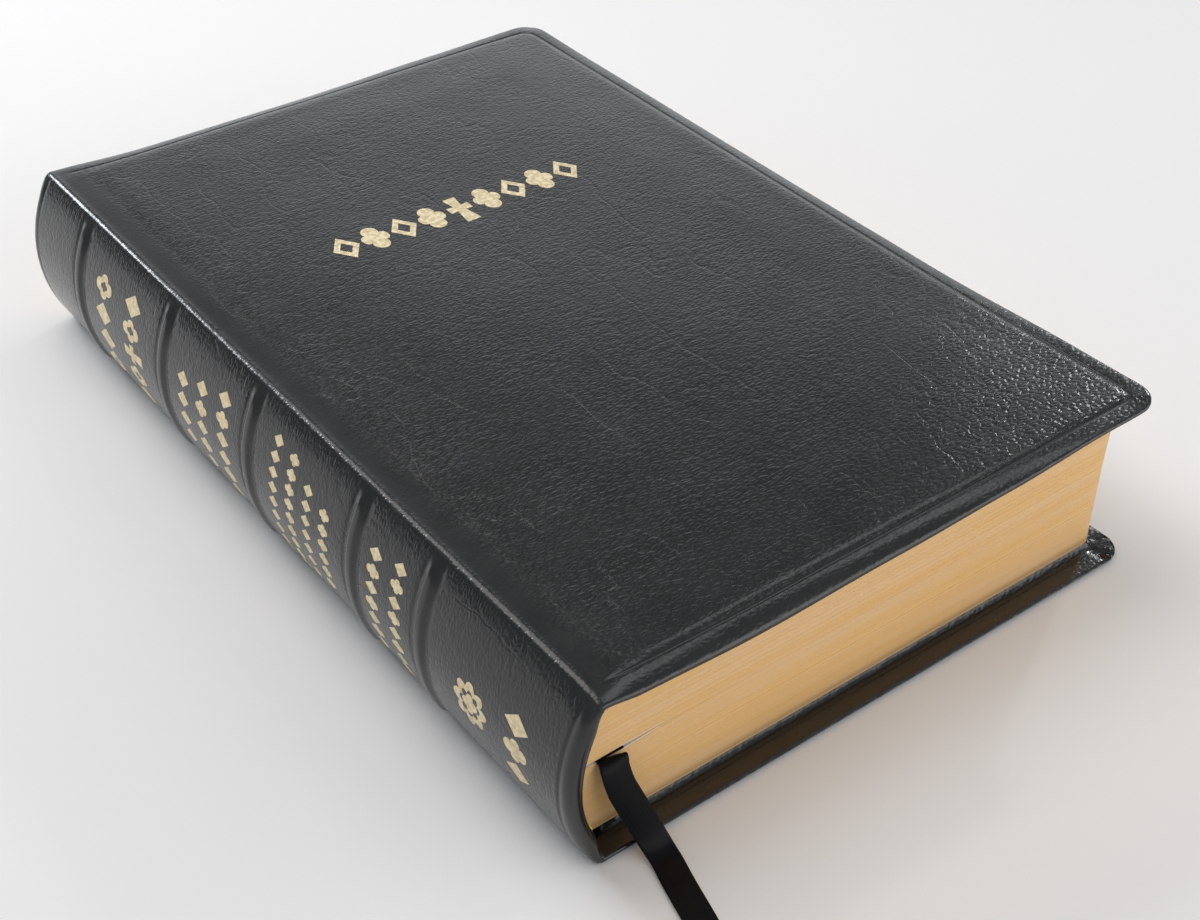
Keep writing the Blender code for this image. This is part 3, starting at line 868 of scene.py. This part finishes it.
def make_ornaments():
    """A row on the front cover and rows on the spine, where a bible carries its titles."""
    marks = row("o*o*+*o*o", U_RIDGE - 74.5 * MM, 156 * MM, 8.1 * MM, 7.2 * MM, 10.5 * MM)
    ornament_piece("cover_ornaments", marks, "front_cover")

    middle = (U_RIDGE + U_LOW_RIDGE) / 2
    rows = (  # distance from the tail, pattern, pitch, width and height, all in millimetres
        (192, "%..%", 7.4, 6.4, 8.0),
        (177, ".%+%.", 6.6, 5.8, 8.0),
        (150, "....", 5.4, 4.3, 5.2),
        (141, ".*.*.", 5.2, 4.2, 5.2),
        (131, ".*..*.", 5.2, 4.3, 5.6),
        (108, ".........", 3.9, 3.1, 3.9),
        (101, "*********", 3.7, 2.9, 3.7),
        (94, ".......", 3.8, 3.0, 3.8),
        (87, "******", 3.8, 3.0, 3.8),
        (67.5, ".*.*.*.", 4.1, 3.3, 4.6),
        (59, "*.*.*.*.", 4.0, 3.2, 4.4),
        (17, ".*.", 6.4, 5.4, 7.4),
    )
    marks = []
    for place, pattern, pitch, width, height in rows:
        marks += row(pattern, middle, place * MM, pitch * MM, width * MM, height * MM)
    marks.append((rosette, (middle, 32 * MM), 11 * MM, 11 * MM, 0.62))
    marks.append((quatrefoil, (middle, 32 * MM), 5 * MM, 5 * MM, 0.0))
    ornament_piece("spine_ornaments", marks, "block")


make_ornaments()


# ---------------- pages

FLYLEAF_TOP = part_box("rear_flyleaf")[1].z - SETTLED  # the block presses its flyleaf on the pastedown
GROUPS = [f"front_leaves_{i + 1}" for i in range(5)]
SECTIONS = [f"section_{i + 1:02d}" for i in range(12)]
BLOCK_WIDTH = FORE_MIDDLE_X - spine_x(BLOCK_DEPTH, MIDDLE_Z)
RIBBON_S = 10.2 * MM  # middle of the ribbon at the tail, measured from the back of the block


def page_x(s, z):
    """X at a share s / BLOCK_WIDTH of the way from the rounded back to the slightly hollow fore-edge."""
    bow = (FORE_END.x - FORE_MIDDLE_X) * ((z - MIDDLE_Z) / (FORE_END.z - MIDDLE_Z)) ** 2
    back = spine_x(BLOCK_DEPTH, z)
    return back + s * (FORE_MIDDLE_X + bow - back) / BLOCK_WIDTH


def page_s(x, z):
    """The s that page_x puts at x."""
    return (x - page_x(0, z)) * BLOCK_WIDTH / (page_x(BLOCK_WIDTH, z) - page_x(0, z))


def settled(s, t, z):
    """Height of a leaf after the block has settled: it closes round the ribbon and waves a little."""
    rise = np.clip((z - BLOCK_LOW.z) / (RIBBON_Z - BLOCK_LOW.z), 0, 1)
    ribbon_s = RIBBON_S - (t + HALF_PAGE) / (2 * HALF_PAGE) * 6.5 * MM
    off = np.abs(s - ribbon_s) / MM
    gap_end = np.where(s < ribbon_s, 6.5, 15)
    closing = (RIBBON_ROOM - 0.04 * MM) * step(off, 3.3, gap_end) * rise * (z < RIBBON_Z)
    share = np.clip((z - BLOCK_LOW.z) / (BLOCK_HIGH.z - BLOCK_LOW.z), 0, 1)
    wave = np.sin(s / (19 * MM) + 0.8) * 0.6 + np.sin(t / (27 * MM) + s / (41 * MM)) * 0.5
    return z + closing + 0.22 * MM * wave * np.sin(math.pi * share) * step(s, 2 * MM, 14 * MM)


def page_grid(first_s, bends):
    """Plan of a leaf: s from the back of the block and t from tail to head, with the normals at its rim."""
    r = PAGE_CORNER_RADIUS
    corner = [r * (1 - k) for k in (0.06, 0.2, 0.36, 0.53, 0.72, 0.86, 1.0)]
    s = [first_s, *bends, *spread((bends or [first_s])[-1], BLOCK_WIDTH - r, 7 * MM), BLOCK_WIDTH - r]
    s = s + [BLOCK_WIDTH - c for c in corner]
    half = [0, *spread(0, HALF_PAGE - r, 7 * MM), HALF_PAGE - r, *[HALF_PAGE - c for c in corner]]
    t = [-value for value in reversed(half[1:])] + half
    s, t = np.meshgrid(np.array(s), np.array(t), indexing="ij")
    a, b = s - (BLOCK_WIDTH - r), np.abs(t) - (HALF_PAGE - r)
    inside = (a > 0) & (b > 0)
    size = np.maximum(np.hypot(a, b), 1e-9)
    scale = np.where(inside, np.maximum(a, b) / size, 1)
    plan_s = np.where(inside, BLOCK_WIDTH - r + a * scale, s)
    plan_t = np.where(inside, np.sign(t) * (HALF_PAGE - r + b * scale), t)
    ns = np.where(inside, a / size, np.where(s >= BLOCK_WIDTH - 1e-9, 1.0, 0.0))
    nt = np.where(inside, np.sign(t) * b / size, np.where(np.abs(t) >= HALF_PAGE - 1e-9, np.sign(t), 0.0))
    return plan_s, plan_t, ns, nt


def page_block(name, low, high, seed, first_s=0.0, bends=(), leaf=LEAF, paper=PAPER, pale_leaf=None):
    """A stack of leaves with uneven edges, closed, paper above and below and gilded round its edges.

    bends are extra lines across the leaves, where a leaf would bend. pale_leaf is "first" or "last" if the
    ribbon lies on that leaf."""
    rng = np.random.default_rng(seed)
    s, t, ns, nt = page_grid(first_s, list(bends))
    grid = np.arange(s.size).reshape(s.shape)
    rim = np.concatenate([grid[:, 0], grid[-1, 1:], grid[-2::-1, -1], grid[0, -2:0:-1]])
    count = max(1, round((high - low) / leaf))
    insets = rng.uniform(0.0, 0.03, count) * MM
    insets[rng.random(count) < 0.12] += 0.03 * MM
    tones = np.clip(0.5 + 0.2 * rng.standard_normal(count), 0, 1)

    def laid(nodes, z, k):
        """Grid nodes at height z, inset as leaf k is, as rows of s, t, height and leaf."""
        inset_s = s.ravel()[nodes] - ns.ravel()[nodes] * insets[k]
        inset_t = t.ravel()[nodes] - nt.ravel()[nodes] * insets[k]
        return np.stack([inset_s, inset_t, np.full(len(nodes), z), np.full(len(nodes), k)], -1)

    rows = [laid(grid.ravel(), low, 0), laid(grid.ravel(), high, count - 1)]
    rings = [rim]
    heights = np.linspace(low, high, count + 1)
    for k in range(count):
        for z in heights[k : k + 2]:
            if low < z < high:
                rings.append(np.arange(len(rim)) + sum(len(row) for row in rows))
                rows.append(laid(rim, z, k))
    rings.append(rim + grid.size)

    quads = np.stack([grid[:-1, :-1], grid[1:, :-1], grid[1:, 1:], grid[:-1, 1:]], -1).reshape(-1, 4)
    faces = [quads, quads + grid.size]
    for lower, upper in zip(rings, rings[1:], strict=False):
        faces.append(np.stack([lower, np.roll(lower, -1), np.roll(upper, -1), upper], -1))
    faces = np.concatenate(faces)
    slots = np.arange(len(faces)) >= 2 * len(quads)

    s, t, z, k = np.concatenate(rows).T
    pale = k == {"first": 0, "last": count - 1}.get(pale_leaf, -1)
    near_ribbon = step(s, 36 * MM, 14 * MM) * step(s, 9 * MM, 12 * MM)
    tone = tones[k.astype(int)]
    fields = {"tone": tone + (PALE_TONE - tone) * near_ribbon * pale, "place": np.stack([s, t, z], -1)}
    points = np.stack([page_x(s, z), t, settled(s, t, z)], -1)
    return new_mesh(name, points, faces.tolist(), [paper, GILT], slots, fields, sharp=25)


def make_sections():
    """Each section fills the pitch up to the next one, so that no gap shows between them."""
    lows = [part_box(name)[0].z for name in SECTIONS]
    gutter_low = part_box("front_leaves_gutter")[0].z
    lows[0] = FLYLEAF_TOP + 0.02 * MM
    for k, name in enumerate(SECTIONS):
        ceiling = lows[k + 1] if k + 1 < len(lows) else gutter_low
        if name == UNDER_RIBBON:
            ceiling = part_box(name)[1].z + 0.1 * MM
        pale_leaf = {UNDER_RIBBON: "last", OVER_RIBBON: "first"}.get(name)
        piece = page_block(name + "_leaves", lows[k], ceiling - 0.02 * MM, 100 + k, pale_leaf=pale_leaf)
        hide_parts(name)
        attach(piece, "block")


def make_front_leaves():
    """The first leaves run from the back of the block, with extra lines across them at their hinges."""
    lows = [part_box(name)[0].z for name in GROUPS]
    tops = [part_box("front_flyleaf")[0].z, *lows]
    for k, name in enumerate(GROUPS):
        hinge = JOINTS[name + "_hinge"]["pos_m"]
        first = page_s(hinge[0], hinge[2])
        bends = list(first + np.arange(0, 8.1, 1.0) * MM)
        high = tops[k] - (0.18 if k == 0 else 0.04) * MM
        piece = page_block(name + "_sheets", lows[k], high, 300 + k, bends=bends)
        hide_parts(name, *(["front_leaves_gutter"] if k == 0 else []))
        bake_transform(piece)


def make_flyleaves():
    """The free endpapers, with extra lines across them beside the back of the block."""
    for name in ("front_flyleaf", "rear_flyleaf"):
        hinge = JOINTS[name + "_hinge"]["pos_m"]
        low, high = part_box(name)[0].z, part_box(name)[1].z
        if name == "rear_flyleaf":
            low, high = low - SETTLED, FLYLEAF_TOP
        first = page_s(hinge[0], hinge[2]) - 3 * MM
        bends = list(first + 3 * MM + np.arange(0, 6.1, 1.0) * MM)
        piece = page_block(name + "_sheet", low, high, 400, first, bends, leaf=0.2 * MM, paper=ENDPAPER)
        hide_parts(name)
        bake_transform(piece)


make_sections()
make_front_leaves()
make_flyleaves()


# ---------------- bands, thread and ribbon


def ring_faces(count, ring):
    """Faces between count rings of points, one after another."""
    number = np.arange(count * ring).reshape(count, ring)
    after = np.roll(number, -1, axis=1)
    return np.stack([number[:-1], after[:-1], after[1:], number[1:]], -1).reshape(-1, 4).tolist()


def wound_band(name):
    """A headband: a core along the back of the block, wound with thread that stands up in turns."""
    low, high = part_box(name)
    radius = (high.y - low.y) / 2
    z = np.linspace(low.z + radius, high.z - radius, 360)
    x = spine_x(END_BAND_DEPTH, z)
    around = 14
    points = []
    for i, (px, pz) in enumerate(zip(x, z, strict=True)):
        turn = abs(math.sin(math.pi * i / 5))
        size = radius * (0.3 if i in (0, len(z) - 1) else 0.84 + 0.16 * turn)
        slope = Vector((pz - MIDDLE_Z, 0, SPINE_CENTRE_X - px)).normalized()
        normal = Vector((-slope.z, 0, slope.x))
        for k in range(around):
            angle = 2 * math.pi * k / around
            spot = Vector((px, (low.y + high.y) / 2, pz))
            spot += normal * math.cos(angle) * size + Vector((0, 1, 0)) * math.sin(angle) * size
            points.append(tuple(spot))
    faces = ring_faces(len(z), around)
    faces += [list(range(around)), list(range(len(points) - around, len(points)))]
    piece = new_mesh(name + "_wound", points, faces, [COTTON], sharp=70)
    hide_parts(name)
    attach(piece, "block")


def make_ribbon():
    """The free end of the ribbon, a woven strip with firm selvedges that cups a little across its width."""
    samples = 150
    route = [(RIDGE_X + x, y - HALF_LENGTH, z) for x, y, z in RIBBON_ROUTE]
    path = smooth_path(route, samples)
    first_heading = Vector((0, -1, 0))
    last_heading = (path[-1] - path[-16]).normalized()
    lines = 17
    points, surface = [], []
    run = 0.0
    for i, place in enumerate(path):
        tangent = (path[min(i + 1, samples - 1)] - path[max(i - 1, 0)]).normalized()
        heading = first_heading.lerp(last_heading, i / (samples - 1))
        across = Vector((-heading.y, heading.x, 0))
        across = (across - across.dot(tangent) * tangent).normalized()
        up = tangent.cross(across).normalized()
        run += (place - path[i - 1]).length if i else 0.0
        lying = float(step(place.z, 0.004, 0.0006))
        for side in (1, -1):
            for k in range(lines):
                w = (k / (lines - 1) * 2 - 1) * side
                selvedge = 1.0 if abs(w) > 0.86 else 0.62
                thick = RIBBON_THICKNESS / 2 * (0.25 if abs(w) > 0.999 else selvedge)
                cup = 0.35 * MM * w * w * (1 - lying)
                ripple = 0.10 * MM * math.sin(run / (2.6 * MM)) * (1 - w * w) * lying
                spot = place + across * (w * RIBBON_WIDTH / 2) + up * (thick * side - cup + abs(ripple))
                points.append((spot.x, spot.y, max(spot.z, 0.0001)))
                surface.append((w * RIBBON_WIDTH / 2, run, 0))
    ring = 2 * lines
    faces = ring_faces(samples, ring)
    for start in (0, (samples - 1) * ring):
        for k in range(lines - 1):
            faces.append([start + k, start + k + 1, start + ring - 2 - k, start + ring - 1 - k])
    piece = new_mesh("ribbon_free_end", points, faces, [SATIN], fields={"surface": surface}, sharp=60)
    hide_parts("ribbon_tail")
    tuple(route[0])
    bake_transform(piece)


wound_band("head_band")
wound_band("tail_band")
make_ribbon()


def dress_cad_nodes():
    """Materials of the CAD nodes that stay: what is glued and sewn inside the spine."""
    dressed = {"spine_lining": KRAFT, "mull": GAUZE, "ribbon_marker": SATIN}
    for i in range(5):
        dressed[f"sewing_thread_{i + 1}"] = THREAD
    for node, material in dressed.items():
        data = frame["nodes"][node].data
        data.materials.clear()
        data.materials.append(material)


dress_cad_nodes()


# ---------------- floor, lights and camera


def make_floor():
    """A pale plain table."""
    mesh = bpy.data.meshes.new("floor")
    work = bmesh.new()
    bmesh.ops.create_grid(work, x_segments=1, y_segments=1, size=4.0)
    work.to_mesh(mesh)
    work.free()
    made = Surface("pale_floor", Roughness=0.85)
    colour = made.mix(made.noise(made.place(), 6.0, 3.0), (0.82, 0.81, 0.81), (0.85, 0.845, 0.845))
    mesh.materials.append(made.finish(colour))
    floor = bpy.data.objects.new("floor", mesh)
    floor.location = (0, 0, -0.0001)
    bpy.context.scene.collection.objects.link(floor)


def area_light(name, azimuth, elevation, distance, size, power, colour):
    """A soft light aimed at the book. Azimuth turns from +X towards +Y, in degrees."""
    data = bpy.data.lights.new(name, "AREA")
    data.shape = "RECTANGLE"
    data.size, data.size_y = size
    data.energy = power
    data.color = colour
    light = bpy.data.objects.new(name, data)
    a, e = math.radians(azimuth), math.radians(elevation)
    back = Vector((math.cos(a) * math.cos(e), math.sin(a) * math.cos(e), math.sin(e)))
    light.location = back * distance
    light.rotation_euler = back.to_track_quat("Z", "Y").to_euler()
    bpy.context.scene.collection.objects.link(light)


def make_world():
    """A dim room that is brighter low down behind the book."""
    world = bpy.data.worlds.new("studio")
    world.use_nodes = True
    made = Nodes(world.node_tree)
    direction = made.add("TexCoord", None, "Generated")
    background = world.node_tree.nodes["Background"].inputs
    background["Color"].default_value = (0.95, 0.98, 1.0, 1.0)

    def facing(azimuth, elevation):
        a, e = math.radians(azimuth), math.radians(elevation)
        towards = (math.cos(a) * math.cos(e), math.sin(a) * math.cos(e), math.sin(e))
        return made.vector("DOT_PRODUCT", direction, towards, "Value")

    back = made.ramp(facing(54, 6), 0.83, 1.0, 0.19, 1.25)
    front = made.ramp(facing(232, 40), -0.2, 0.9, 0.0, 0.27)
    made.feed(background["Strength"], made.math("ADD", back, front))
    bpy.context.scene.world = world


def make_light():
    area_light("overhead", 112, 66, 0.95, (0.7, 0.7), 3.7, (1.0, 0.95, 0.925))
    area_light("window", 105, 30, 1.3, (0.40, 0.24), 6.0, (0.90, 0.96, 1.0))
    area_light("fill", -60, 19, 1.3, (1.8, 0.7), 7.6, (1.0, 0.97, 0.95))
    area_light("lamp", 21, 29, 1.6, (0.08, 0.08), 2.2, (0.97, 0.99, 1.0))
    area_light("ceiling", -5, 58, 1.5, (0.4, 0.4), 0.9, (0.97, 0.99, 1.0))
    make_world()
    bpy.context.scene.view_settings.view_transform = "Standard"


def make_camera():
    """Stands beyond the tail, on the spine side, and looks down at the book."""
    tail_corner = Vector((RIDGE_X, -HALF_LENGTH, 0))
    place = tail_corner + Vector((-0.13747, -0.17688, 0.27408))
    data = bpy.data.cameras.new("camera")
    data.lens = 54.66
    data.sensor_width = 36
    data.clip_start = 0.01
    camera = bpy.data.objects.new("camera", data)
    turn = Matrix.Rotation(math.radians(-37.66), 4, "Z")
    tilt = Matrix.Rotation(math.radians(90 - 38.15), 4, "X")
    roll = Matrix.Rotation(math.radians(0.74), 4, "Z")
    camera.matrix_world = Matrix.Translation(place) @ turn @ tilt @ roll
    bpy.context.scene.collection.objects.link(camera)
    bpy.context.scene.camera = camera


make_floor()
make_light()
make_camera()
